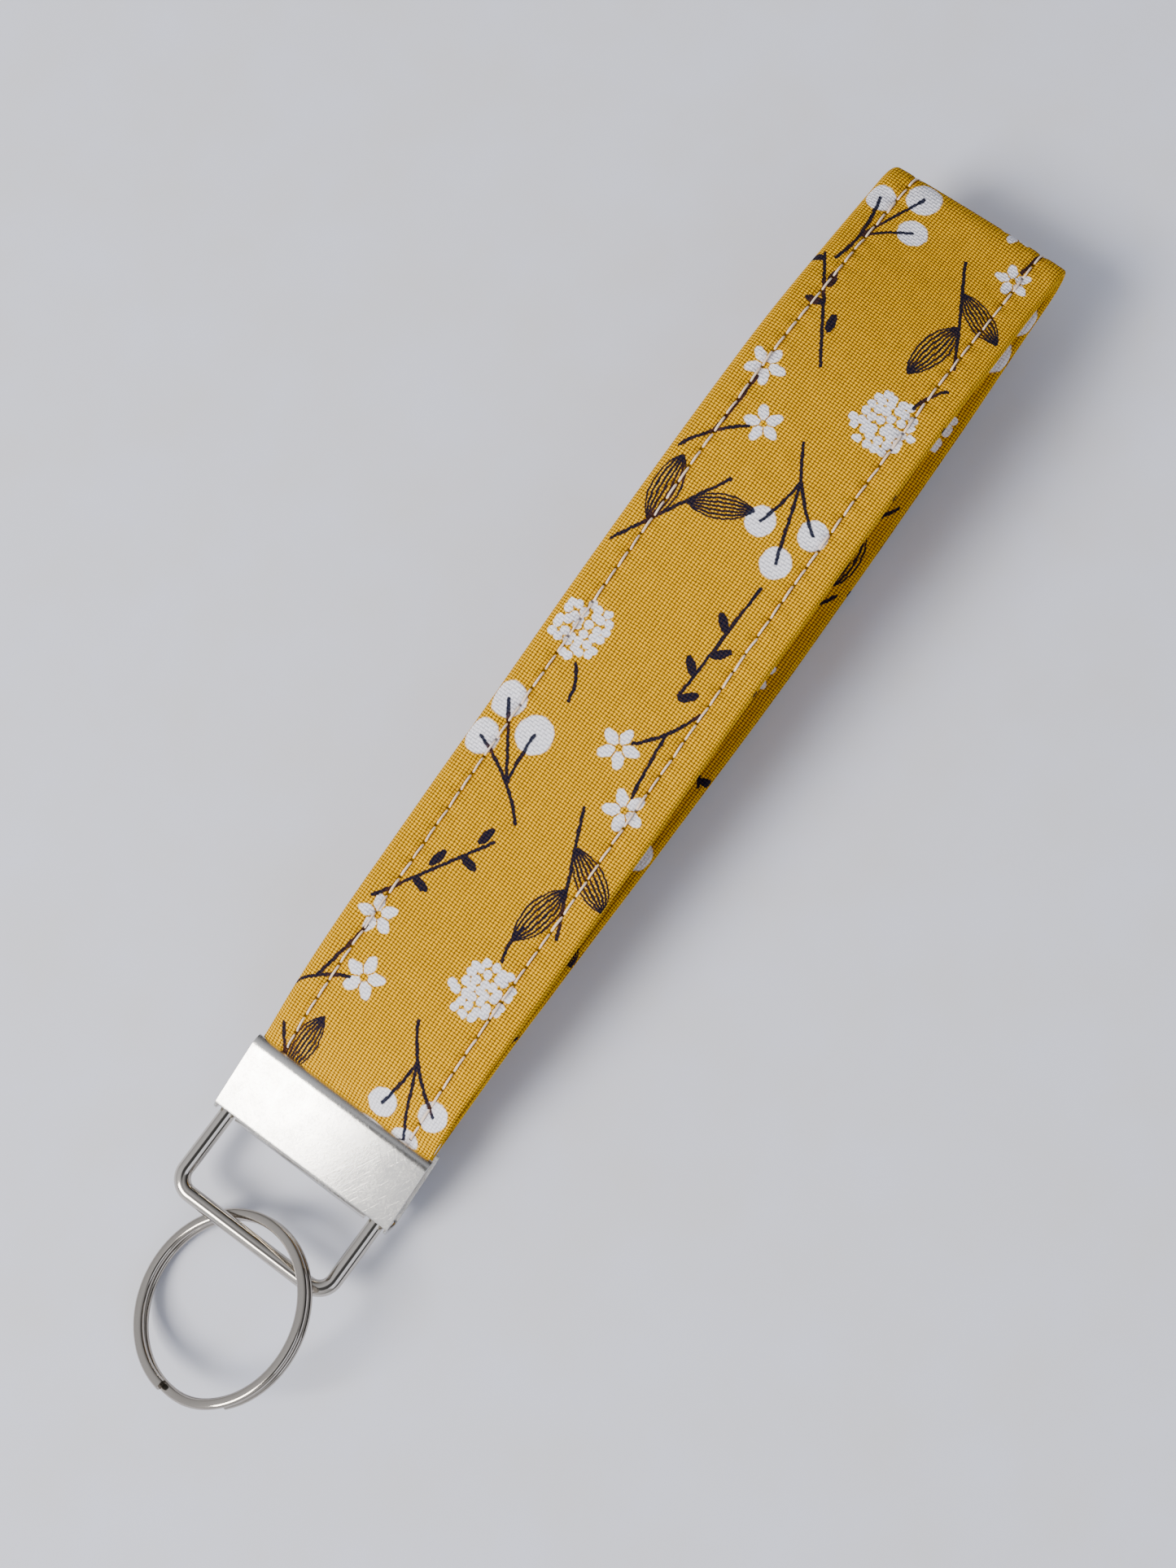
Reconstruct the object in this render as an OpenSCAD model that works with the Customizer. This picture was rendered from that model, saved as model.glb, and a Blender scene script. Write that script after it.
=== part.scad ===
// Wristlet key fob: a folded, topstitched fabric loop, its crimped clamp, a wire bail and a split ring.
// Millimetres, +Z up, lying on its loop; +X runs from the ring to the far end of the loop.

/* [Strap] */
// Width of the strap away from the clamp
strap_w = 32.5; // [20:0.5:40]
// Width of the strap where the clamp squeezes it
strap_mouth_w = 31.8; // [20:0.1:40]
// Thickness of one run of the strap
strap_t = 3.0; // [2:0.1:5]
// Share of the thickness taken by the stiffening core
core_share = 0.5; // [0.3:0.05:0.7]
// Width of fabric beside the core on each edge
core_margin = 1.2; // [0.6:0.1:3]

/* [Stitching] */
// Distance between the two topstitched rows
stitch_rows = 23.5; // [12:0.5:30]
// Thread width
thread_w = 0.4; // [0.2:0.05:0.8]
// Height of a stitch above the fabric
thread_rise = 0.22; // [0.1:0.02:0.5]

/* [Clamp] */
// Width of the clamp
clamp_w = 33.0; // [20:0.5:45]
// Length of the clamp from its fold to its lips
clamp_l = 14.0; // [8:0.5:20]
// Outside height of the closed clamp
clamp_h = 5.5; // [4:0.1:8]
// Sheet thickness
sheet_t = 0.7; // [0.4:0.05:1.2]
// Outside radius of the fold
fold_r = 1.5; // [0.8:0.1:2.5]
// Outside radius of the rolled lips
lip_r = 1.9; // [1:0.1:2.5]
// Upward tilt of the clamp
clamp_pitch = 18; // [0:1:30]
// Depth of the notch each bail leg passes through
notch_d = 0.95; // [0.5:0.05:3]
// Number of teeth on each lip
teeth = 6; // [2:1:10]

/* [Bail] */
// Wire diameter of the bail
wire_d = 2.6; // [1.5:0.1:4]
// Distance between the leg centres
leg_gap = 28.6; // [16:0.2:40]
// Distance from the hinge line to the crossbar centre
bail_reach = 15.1; // [10:0.1:25]
// Upward tilt of the bail at rest
bail_pitch = 3; // [-20:1:30]
// Length of each bent-in end
trunnion_l = 3.4; // [2:0.2:8]

/* [Split ring] */
// Outside diameter of the ring
ring_d = 30; // [18:0.5:45]
// Width of the wire across the ring
ring_wire_w = 1.7; // [1:0.1:3]
// Height of one turn
ring_wire_h = 1.2; // [0.8:0.05:2]
// Gap between the turns
turn_gap = 0.05; // [0.02:0.01:0.3]
// Angle taken by the step from one turn to the other
jog_angle = 46; // [20:2:80]
// Tilt of the ring about the length
ring_tilt = 24; // [0:1:45]

/* [Hidden] */
$fn = 48;
eps = 0.01;
clamp_at = [1.7, 2.6];
mid_z = clamp_h / 2;
run_gap = 0.05;
bite = 0.5;
squeezed_t = 1.9;
end_x = 4.2;
hinge_x = sheet_t + wire_d / 2 + 0.05;

// A point given beside the clamp, turned into the side view of the whole fob.
function tilt(x, z) = clamp_at + [
    x * cos(clamp_pitch) - z * sin(clamp_pitch),
    x * sin(clamp_pitch) + z * cos(clamp_pitch)
];
function above(x, lift) = tilt(x, mid_z + lift);
run_off = squeezed_t / 2 + run_gap;

// Handles of the strap's centre line: out of the clamp, along the front run, round the end and back.
front_handles = [
    above(end_x, run_off), above(end_x, run_off), above(end_x, run_off),
    above(9, run_off), above(13, run_off), above(17, 1.2), above(21, 1.55),
    [27.5, 15.2], [36, 16.9], [47, 18.0], [62, 19.9], [80, 22.3], [100, 24.6],
    [119, 26.5], [134.78, 27.2], [148.7, 26.5], [159.83, 24.3], [169.11, 21.5], [175.98, 19.6]
];
end_handles = [[180.71, 19.0], [182.57, 15.8], [180.43, 12.3]];
back_handles = [
    [175.61, 12.1], [168.65, 10.4], [158.9, 7.7], [147.77, 5.0], [135.7, 2.9], [122.71, 1.7],
    [109, 1.5], [95, 2.5], [80, 4.7], [66, 6.9], [54, 8.9], [44, 10.9], [35.5, 12.0], [28, 11.8],
    above(21, -1.55), above(17, -1.2), above(13, -run_off), above(9, -run_off),
    above(end_x, -run_off), above(end_x, -run_off), above(end_x, -run_off)
];
handles = concat(front_handles, end_handles, back_handles);

span_steps = 6;
function blend(a, b, c, d, u) = (
    pow(1 - u, 3) * a
    + (3 * pow(u, 3) - 6 * u * u + 4) * b
    + (3 * u * u + 3 * u + 1 - 3 * pow(u, 3)) * c
    + pow(u, 3) * d
) / 6;
line = [
    for (i = [0 : len(handles) - 4], j = [0 : span_steps - 1])
        if (i > 0 || j > 0)
            blend(handles[i], handles[i + 1], handles[i + 2], handles[i + 3], j / span_steps)
];
line_n = len(line);
dist = [
    for (i = 0, d = 0; i < line_n; i = i + 1, d = d + (i < line_n ? norm(line[i] - line[i - 1]) : 0))
        d
];
line_l = dist[line_n - 1];
x_at = [for (i = [0 : line_n - 1]) [dist[i], line[i][0]]];
z_at = [for (i = [0 : line_n - 1]) [dist[i], line[i][1]]];
function spot(s) = [lookup(s, x_at), lookup(s, z_at)];
function heading(s) = spot(min(s + 0.6, line_l)) - spot(max(s - 0.6, 0));
function side(s) = [-heading(s)[1], heading(s)[0]] / norm(heading(s));

// Thickness either side of the centre line; both ends are squeezed by the clamp and bitten by its lips.
from_end = function(s) min(s, line_l - s);
outer_t = [[0, squeezed_t / 2], [7.2, squeezed_t / 2], [8.6, bite], [10.2, bite], [12, 1.1], [17, strap_t / 2]];
inner_t = [[0, squeezed_t / 2], [10.5, squeezed_t / 2], [17, strap_t / 2]];
function out_t(s) = lookup(from_end(s), outer_t);
function in_t(s) = lookup(from_end(s), inner_t);
function outer_spot(s, k, lift) = spot(s) + side(s) * (out_t(s) * k + lift);
function inner_spot(s, k, lift) = spot(s) - side(s) * (in_t(s) * k + lift);

// Stations along the strap: close together by the clamp and round the far end.
stations = concat(
    [for (s = [0 : 3.6 : 7.2]) s],
    [8.6, 10.2, 12, 14.5, 17, 20, 24, 28],
    [for (s = [34 : 8 : 162]) s],
    [167, 172, 175],
    [for (s = [177 : 1.2 : 188]) s],
    [191, 195, 200],
    [for (s = [207 : 8 : line_l - 32]) s],
    [for (s = [28, 24, 20, 17, 14.5, 12, 10.2, 8.6, 7.2, 3.6, 0]) line_l - s]
);
function flip(v) = [for (i = [len(v) - 1 : -1 : 0]) v[i]];

module side_slab(points, y0, y1) {
    translate([0, y1, 0])
        rotate([90, 0, 0])
            linear_extrude(height = y1 - y0)
                polygon(points);
}

module run_slab(k, y0, y1) {
    side_slab(
        concat(
            [for (s = stations) outer_spot(s, k, 0)],
            [for (s = flip(stations)) inner_spot(s, k, 0)]
        ),
        y0, y1
    );
}

module strap_plan(inset) {
    h = strap_w / 2 - inset;
    m = strap_mouth_w / 2 - inset;
    translate([0, 0, -10])
        linear_extrude(height = 60)
            polygon([[0, -m], [16, -m], [28, -m - 0.62 * (h - m)], [42, -h], [200, -h],
                [200, h], [42, h], [28, m + 0.62 * (h - m)], [16, m], [0, m]]);
}

// One row of topstitching: a narrow band of thread lying on the outer or the inner face.
module stitch_row(y, outer) {
    hidden = outer ? 11 : 33;
    row = [for (s = stations) if (from_end(s) > hidden) s];
    side_slab(
        outer
            ? concat(
                [for (s = row) outer_spot(s, 1, thread_rise)],
                [for (s = flip(row)) outer_spot(s, 1, 0)]
            )
            : concat(
                [for (s = row) inner_spot(s, 1, thread_rise)],
                [for (s = flip(row)) inner_spot(s, 1, 0)]
            ),
        y - thread_w / 2, y + thread_w / 2
    );
}

module in_clamp() {
    translate([clamp_at[0], 0, clamp_at[1]])
        rotate([0, -clamp_pitch, 0])
            children();
}

module lip_teeth() {
    step = (clamp_w - 4.6) / (teeth - 1);
    for (i = [0 : teeth - 1], f = [-1, 1])
        translate([clamp_l - sheet_t + 0.05, -clamp_w / 2 + 2.3 + i * step, mid_z])
            rotate([90, 0, 90])
                linear_extrude(height = sheet_t - 0.1)
                    polygon([[-0.8, f * 1.7], [0.8, f * 1.7], [0.2, f * 1.08], [-0.2, f * 1.08]]);
}

// Printed cotton, folded all round the core.
module printed_fabric() {
    color([0.84, 0.62, 0.15]) placed()
        difference() {
            intersection() {
                run_slab(1, -strap_w / 2, strap_w / 2);
                strap_plan(0);
            }
            core_solid();
            in_clamp() lip_teeth();
        }
}

module core_solid() {
    intersection() {
        run_slab(core_share, -strap_w / 2, strap_w / 2);
        strap_plan(core_margin);
    }
}

// Stiff woven interfacing folded inside the cotton.
module interfacing_core() {
    color([0.92, 0.91, 0.87]) placed()
        difference() {
            core_solid();
            in_clamp() lip_teeth();
        }
}

// Upper threads of the two rows, on the outside of the loop.
module needle_thread_left() {
    color([0.95, 0.88, 0.80]) placed() stitch_row(stitch_rows / 2, true);
}

module needle_thread_right() {
    color([0.95, 0.88, 0.80]) placed() stitch_row(-stitch_rows / 2, true);
}

// Lower threads of the two rows, on the inside of the loop.
module bobbin_thread_left() {
    color([0.93, 0.86, 0.78]) placed() stitch_row(stitch_rows / 2, false);
}

module bobbin_thread_right() {
    color([0.93, 0.86, 0.78]) placed() stitch_row(-stitch_rows / 2, false);
}

// A rectangle with its own corner radius at the fold and at the lips.
module clamp_outline(inset, back_r, front_r) {
    h = clamp_h - 2 * inset;
    translate([inset, inset]) {
        translate([back_r, 0]) square([clamp_l - 2 * inset - back_r - front_r, h]);
        translate([0, back_r]) square([back_r + eps, h - 2 * back_r]);
        translate([clamp_l - 2 * inset - front_r - eps, front_r]) square([front_r + eps, h - 2 * front_r]);
        for (z = [back_r, h - back_r]) translate([back_r, z]) circle(r = back_r);
        for (z = [front_r, h - front_r]) translate([clamp_l - 2 * inset - front_r, z]) circle(r = front_r);
    }
}

// One folded sheet, pressed shut, with rolled lips and two notches for the bail.
module clamp() {
    mouth = 2 * (run_off + bite + 0.05);
    color([0.80, 0.80, 0.80]) placed()
        in_clamp() {
            difference() {
                translate([0, clamp_w / 2, 0])
                    rotate([90, 0, 0])
                        linear_extrude(height = clamp_w)
                            difference() {
                                clamp_outline(0, fold_r, lip_r);
                                clamp_outline(sheet_t, fold_r - sheet_t, lip_r - sheet_t);
                                translate([clamp_l - 3, mid_z - mouth / 2]) square([4, mouth]);
                            }
                for (f = [-1, 1])
                    translate([-1, f * (leg_gap / 2 - 0.05) - 1.7, -1])
                        cube([1 + notch_d, 3.4, clamp_h + 2]);
            }
            lip_teeth();
        }
}

module in_bail() {
    translate([tilt(hinge_x, mid_z)[0], 0, tilt(hinge_x, mid_z)[1]])
        rotate([0, bail_pitch, 0])
            children();
}

module wire(from, to_axis, l) {
    translate(from)
        rotate(to_axis)
            cylinder(d = wire_d, h = l);
}

// A three-sided wire frame whose ends are bent in and lie in the fold of the clamp.
module bail_wire() {
    bend_in = 1.9;
    bend_out = 2.8;
    half = leg_gap / 2;
    color([0.78, 0.78, 0.78]) placed()
        in_bail() {
            wire([-bail_reach, half - bend_out, 0], [90, 0, 0], leg_gap - 2 * bend_out);
            for (f = [0, 1])
                mirror([0, f, 0]) {
                    wire([0, half - bend_in, 0], [90, 0, 0], trunnion_l);
                    wire([-bail_reach + bend_out, half, 0], [0, 90, 0], bail_reach - bend_out - bend_in);
                    translate([-bend_in, half - bend_in, 0])
                        rotate_extrude(angle = 90)
                            translate([bend_in, 0]) circle(d = wire_d);
                    translate([-bail_reach + bend_out, half - bend_out, 0])
                        rotate([0, 0, 90])
                            rotate_extrude(angle = 90)
                                translate([bend_out, 0]) circle(d = wire_d);
                }
        }
}

// The whole fob is centred over its own footprint.
footprint_mid = [72.99, -0.29, -0.07];
module placed() {
    translate(-footprint_mid)
        children();
}

ring_at = [-22.6, -3.0, 7.25];
jog_at = 202;

module turn_section() {
    c = 0.3;
    w = ring_wire_w / 2;
    h = ring_wire_h;
    translate([ring_d / 2 - w, 0])
        polygon([[-w + c, 0], [w - c, 0], [w, c], [w, h - c], [w - c, h], [-w + c, h], [-w, h - c], [-w, c]]);
}

// A length of the wire, from one angle to another, at one height.
module wire_arc(from_angle, to_angle, z) {
    rotate([0, 0, from_angle])
        translate([0, 0, z])
            rotate_extrude(angle = to_angle - from_angle, $fn = 120)
                turn_section();
}

// Two stacked turns of one wire, joined by a short step; keys are threaded in between the turns.
module split_ring() {
    drop = ring_wire_h + turn_gap;
    low = -drop + turn_gap / 2;
    half = jog_angle / 2;
    steps = 5;
    color([0.76, 0.75, 0.73]) placed()
        translate(ring_at)
            rotate([-ring_tilt, 0, 0])
                rotate([0, 0, jog_at]) {
                    wire_arc(half, 360 - half, low);
                    wire_arc(half, 360 - half, turn_gap / 2);
                    for (i = [0 : steps - 1])
                        wire_arc(
                            -half - 0.5 + i * (jog_angle + 1) / steps,
                            -half - 0.3 + (i + 1) * (jog_angle + 1) / steps,
                            low + drop * (i + 0.5) / steps
                        );
                }
}

printed_fabric();
interfacing_core();
needle_thread_left();
needle_thread_right();
bobbin_thread_left();
bobbin_thread_right();
clamp();
bail_wire();
split_ring();
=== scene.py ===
import math
import random
import bpy
import bmesh
from mathutils import Matrix, Vector, noise


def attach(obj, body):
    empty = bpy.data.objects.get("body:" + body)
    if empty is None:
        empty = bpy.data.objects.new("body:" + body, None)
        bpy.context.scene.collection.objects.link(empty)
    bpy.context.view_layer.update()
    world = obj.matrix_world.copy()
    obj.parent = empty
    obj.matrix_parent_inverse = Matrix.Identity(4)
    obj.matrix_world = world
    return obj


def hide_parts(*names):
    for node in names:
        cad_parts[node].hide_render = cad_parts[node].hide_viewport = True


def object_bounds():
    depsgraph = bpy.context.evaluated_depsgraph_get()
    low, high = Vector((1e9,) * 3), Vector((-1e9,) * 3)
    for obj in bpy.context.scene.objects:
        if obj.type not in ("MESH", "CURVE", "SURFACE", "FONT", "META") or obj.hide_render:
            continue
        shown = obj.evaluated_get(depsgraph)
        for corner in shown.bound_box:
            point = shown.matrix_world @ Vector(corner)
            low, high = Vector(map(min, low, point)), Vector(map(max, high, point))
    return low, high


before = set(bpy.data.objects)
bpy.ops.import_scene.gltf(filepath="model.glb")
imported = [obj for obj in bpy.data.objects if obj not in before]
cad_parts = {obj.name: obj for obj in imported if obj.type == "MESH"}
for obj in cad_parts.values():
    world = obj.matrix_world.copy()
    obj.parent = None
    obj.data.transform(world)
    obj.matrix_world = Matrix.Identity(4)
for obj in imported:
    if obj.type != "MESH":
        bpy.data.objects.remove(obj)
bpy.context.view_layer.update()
mm = 0.001
mathNode, vectorNode = "ShaderNodeMath", "ShaderNodeVectorMath"
mapNode, mixNode = "ShaderNodeMapRange", "ShaderNodeMix"


def linearColor(hexText):
    # sRGB hex to linear RGBA
    parts = [int(hexText[i:i + 2], 16) / 255 for i in (0, 2, 4)]
    return tuple(c / 12.92 if c <= 0.04045 else ((c + 0.055) / 1.055) ** 2.4 for c in parts) + (1.0,)


def feed(tree, source, socket):
    # a node stands for its first output in use; what is neither node nor socket is a plain value
    if isinstance(source, bpy.types.Node):
        source = next(output for output in source.outputs if output.enabled)
    if isinstance(source, bpy.types.NodeSocket):
        tree.links.new(source, socket)
    else:
        socket.default_value = source


def addNode(tree, kind, links=(), **settings):
    # links gives the inputs in order, or by name or index
    node = tree.nodes.new(kind)
    for key, value in settings.items():
        setattr(node, key, value)
    for key, value in links.items() if isinstance(links, dict) else enumerate(links):
        feed(tree, value, node.inputs[key])
    return node


def highest(tree, values):
    top = values[0]
    for value in values[1:]:
        top = addNode(tree, mathNode, (top, value), operation="MAXIMUM")
    return top


def newMaterial(name):
    material = bpy.data.materials.new(name)
    material.use_nodes = True
    tree = material.node_tree
    tree.nodes.clear()
    shader = addNode(tree, "ShaderNodeBsdfPrincipled")
    addNode(tree, "ShaderNodeOutputMaterial", {"Surface": shader})
    return material, tree, shader


def meshObject(name, vertices, faces, material, smooth=True):
    mesh = bpy.data.meshes.new(name)
    mesh.from_pydata([tuple(v) for v in vertices], [], faces)
    mesh.validate()
    mesh.materials.append(material)
    mesh.shade_smooth() if smooth else mesh.shade_flat()
    obj = bpy.data.objects.new(name, mesh)
    bpy.context.scene.collection.objects.link(obj)
    return obj


def plainMesh(obj):
    # turns what the modifiers make into the object's own mesh
    graph = bpy.context.evaluated_depsgraph_get()
    made = bpy.data.meshes.new_from_object(obj.evaluated_get(graph))
    obj.modifiers.clear()
    obj.data = made
    return obj


def sweep(name, points, section, normals, material):
    # section holds (across, up) pairs; normals gives the up direction at each point
    count, ring = len(points), len(section)
    vertices, faces = [], []
    for i, point in enumerate(points):
        before, after = points[max(i - 1, 0)], points[min(i + 1, count - 1)]
        along = (after - before).normalized()
        up = (normals[i] - along * normals[i].dot(along)).normalized()
        across = along.cross(up)
        for a, b in section:
            vertices.append(point + across * a + up * b)
    for i in range(count - 1):
        for j in range(ring):
            k = (j + 1) % ring
            faces.append((i * ring + j, i * ring + k, (i + 1) * ring + k, (i + 1) * ring + j))
    faces.append(tuple(range(ring - 1, -1, -1)))
    faces.append(tuple((count - 1) * ring + j for j in range(ring)))
    obj = meshObject(name, vertices, faces, material)
    editMesh = bmesh.new()
    editMesh.from_mesh(obj.data)
    bmesh.ops.recalc_face_normals(editMesh, faces=editMesh.faces)
    editMesh.to_mesh(obj.data)
    editMesh.free()
    obj.data.set_sharp_from_angle(angle=math.radians(40))
    return obj


# the strap's side view, with the same handles as the CAD part, in millimetres
loop = dict(
    offset=Vector((-72.99, 0.29, 0.07)), clampAt=(1.7, 2.6), clampPitch=math.radians(18), clampHeight=5.5,
    width=32.5, mouthWidth=31.8, thick=3.0, squeezed=1.9, bite=0.5, endX=4.2, runGap=0.05,
    stitchDip=0.24, stitchHalf=0.75, puff=0.10, edgeDrop=0.10, edgeIn=1.2, edgesIn=2.6,
    seamDepth=0.85, seamGap=0.14, stepMm=1.0, waver=0.16, drift=0.16,
)


def tilt(x, z):
    c, s = math.cos(loop["clampPitch"]), math.sin(loop["clampPitch"])
    return (loop["clampAt"][0] + x * c - z * s, loop["clampAt"][1] + x * s + z * c)


def above(x, lift):
    return tilt(x, loop["clampHeight"] / 2 + lift)


def loopHandles():
    off, end = loop["squeezed"] / 2 + loop["runGap"], loop["endX"]
    front = [above(end, off)] * 3 + [above(9, off), above(13, off), above(17, 1.2), above(21, 1.55)]
    front += [(27.5, 15.2), (36, 16.9), (47, 18.0), (62, 19.9), (80, 22.3), (100, 24.6),
              (119, 26.5), (134.78, 27.2), (148.7, 26.5), (159.83, 24.3), (169.11, 21.5), (175.98, 19.6)]
    tip = [(180.71, 19.0), (182.57, 15.8), (180.43, 12.3)]
    back = [(175.61, 12.1), (168.65, 10.4), (158.9, 7.7), (147.77, 5.0), (135.7, 2.9), (122.71, 1.7),
            (109, 1.5), (95, 2.5), (80, 4.7), (66, 6.9), (54, 8.9), (44, 10.9), (35.5, 12.0), (28, 11.8)]
    back += [above(21, -1.55), above(17, -1.2), above(13, -off), above(9, -off)] + [above(end, -off)] * 3
    return front + tip + back


def lookup(table, x):
    if x <= table[0][0]:
        return table[0][1]
    for (x0, y0), (x1, y1) in zip(table, table[1:]):
        if x <= x1:
            return y0 + (y1 - y0) * (x - x0) / (x1 - x0)
    return table[-1][1]


class StrapLine:
    # the centre line of the strap by arc length
    def __init__(self, fine=12):
        h = [Vector((p[0], 0, p[1])) for p in loopHandles()]
        self.points = []
        for i in range(len(h) - 3):
            for j in range(fine):
                u = j / fine
                weights = ((1 - u) ** 3, 3 * u ** 3 - 6 * u * u + 4, 3 * u * u + 3 * u + 1 - 3 * u ** 3, u ** 3)
                p = sum((h[i + k] * w / 6 for k, w in enumerate(weights)), Vector((0, 0, 0)))
                if not self.points or (p - self.points[-1]).length > 1e-5:
                    self.points.append(p)
        self.reach = [0.0]
        for a, b in zip(self.points, self.points[1:]):
            self.reach.append(self.reach[-1] + (b - a).length)
        self.length = self.reach[-1]

    def spot(self, s):
        s = min(max(s, 0), self.length)
        low, high = 0, len(self.reach) - 1
        while high - low > 1:
            mid = (low + high) // 2
            low, high = (mid, high) if self.reach[mid] <= s else (low, mid)
        t = (s - self.reach[low]) / (self.reach[high] - self.reach[low])
        return self.points[low].lerp(self.points[high], t)

    def along(self, s):
        return (self.spot(s + 0.6) - self.spot(s - 0.6)).normalized()

    def outward(self, s):
        a = self.along(s)
        return Vector((-a.z, 0, a.x))

    def halves(self, s):
        # how far the outer and the inner face lie from the centre line
        e = min(s, self.length - s)
        half, thin = loop["thick"] / 2, loop["squeezed"] / 2
        outer = lookup([(0, thin), (7.2, thin), (8.6, loop["bite"]), (10.2, loop["bite"]), (12, 1.1), (17, half)], e)
        inner = lookup([(0, thin), (10.5, thin), (17, half)], e)
        return outer, inner

    def halfWidth(self, s):
        full, mouth = loop["width"] / 2, loop["mouthWidth"] / 2
        x = self.spot(s).x
        return lookup([(0, mouth), (16, mouth), (28, mouth + 0.62 * (full - mouth)), (42, full), (200, full)], x)

    def place(self, s, y, lift):
        p = self.spot(s) + self.outward(s) * lift
        return (Vector((p.x, y, p.z)) + loop["offset"]) * mm


strapLine = StrapLine()
print("strap centre line", round(strapLine.length, 1), "mm")

# woven cotton print: thread spacings, motif sizes and both UV maps are in millimetres
cotton = dict(
    # the deep mustard is painted shade in the weave gaps and along the stitched valley, and also the darker tone of
    # the slubs; the light mustard is a painted highlight on the thread crowns
    mustard="fabd08", mustardSlubAndShade="693a00", mustardHighlight="ffcd22", white="f4f4fd", ink="080f2b",
    threadAlong=0.57, threadAcross=0.50, stitchRow=11.75, stitchPitch=3.15, stitchStart=12.0,
    # the needle hole colour is painted shade in the holes between stitches
    needleHoleShade="2c1602", repeat=187.0, innerStart=62, innerThread=0.21,
    # the strengths for the stitched valley and the needle holes on the next line are for painted shade
    threadWobble=0.35, fray=0.45, slubDark=0.22, valleyShadeStrength=0.34, holeShadeStrength=0.85,
    dimple=0.09, weaveHeight=0.11, softWaves=0.35, relief=1.3,
)


def groupTree(name, inputs, output="Mask"):
    tree = bpy.data.node_groups.new(name, "ShaderNodeTree")
    for label, kind in inputs:
        tree.interface.new_socket(label, in_out="INPUT", socket_type=kind)
    tree.interface.new_socket(output, in_out="OUTPUT", socket_type="NodeSocketFloat")
    return tree, addNode(tree, "NodeGroupInput").outputs, addNode(tree, "NodeGroupOutput")


def ovalGroup():
    # a filled oval with its own turn
    tree, given, out = groupTree("ovalMotif", [("Point", "NodeSocketVector"), ("Centre", "NodeSocketVector"),
                                               ("Turn", "NodeSocketFloat"), ("Size", "NodeSocketVector")])
    turned = addNode(tree, "ShaderNodeVectorRotate", {"Vector": given[0], "Center": given[1], "Angle": given[2]},
                     rotation_type="Z_AXIS")
    away = addNode(tree, vectorNode, (turned, given[1]), operation="SUBTRACT")
    share = addNode(tree, vectorNode, (away, given[3]), operation="DIVIDE")
    far = addNode(tree, vectorNode, (share,), operation="LENGTH")
    feed(tree, addNode(tree, mapNode, (far, 1.05, 0.96)), out.inputs[0])
    return tree


def strokeGroup():
    # a line between two points, bowed sideways
    tree, given, out = groupTree("strokeMotif", [("Point", "NodeSocketVector"), ("From", "NodeSocketVector"),
                                                 ("To", "NodeSocketVector"), ("Bow", "NodeSocketFloat"),
                                                 ("Width", "NodeSocketFloat")])
    a = addNode(tree, vectorNode, (given[0], given[1]), operation="SUBTRACT")
    b = addNode(tree, vectorNode, (given[2], given[1]), operation="SUBTRACT")
    forward = addNode(tree, vectorNode, (a, b), operation="DOT_PRODUCT")
    whole = addNode(tree, vectorNode, (b, b), operation="DOT_PRODUCT")
    t = addNode(tree, mathNode, (forward, whole), operation="DIVIDE", use_clamp=True)
    left = addNode(tree, mathNode, (1.0, t), operation="SUBTRACT")
    belly = addNode(tree, mathNode, (t, left), operation="MULTIPLY")
    bow = addNode(tree, mathNode, (given[3], 4.0), operation="MULTIPLY")
    bend = addNode(tree, mathNode, (belly, bow), operation="MULTIPLY")
    unit = addNode(tree, vectorNode, (b,), operation="NORMALIZE")
    sideways = addNode(tree, vectorNode, (unit, (0, 0, 1)), operation="CROSS_PRODUCT")
    straight = addNode(tree, vectorNode, {0: b, "Scale": t}, operation="SCALE")
    aside = addNode(tree, vectorNode, {0: sideways, "Scale": bend}, operation="SCALE")
    spine = addNode(tree, vectorNode, (straight, aside), operation="ADD")
    away = addNode(tree, vectorNode, (a, spine), operation="DISTANCE")
    gap = addNode(tree, mathNode, (away, given[4]), operation="DIVIDE")
    feed(tree, addNode(tree, mapNode, (gap, 1.35, 0.85)), out.inputs[0])
    return tree


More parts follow.
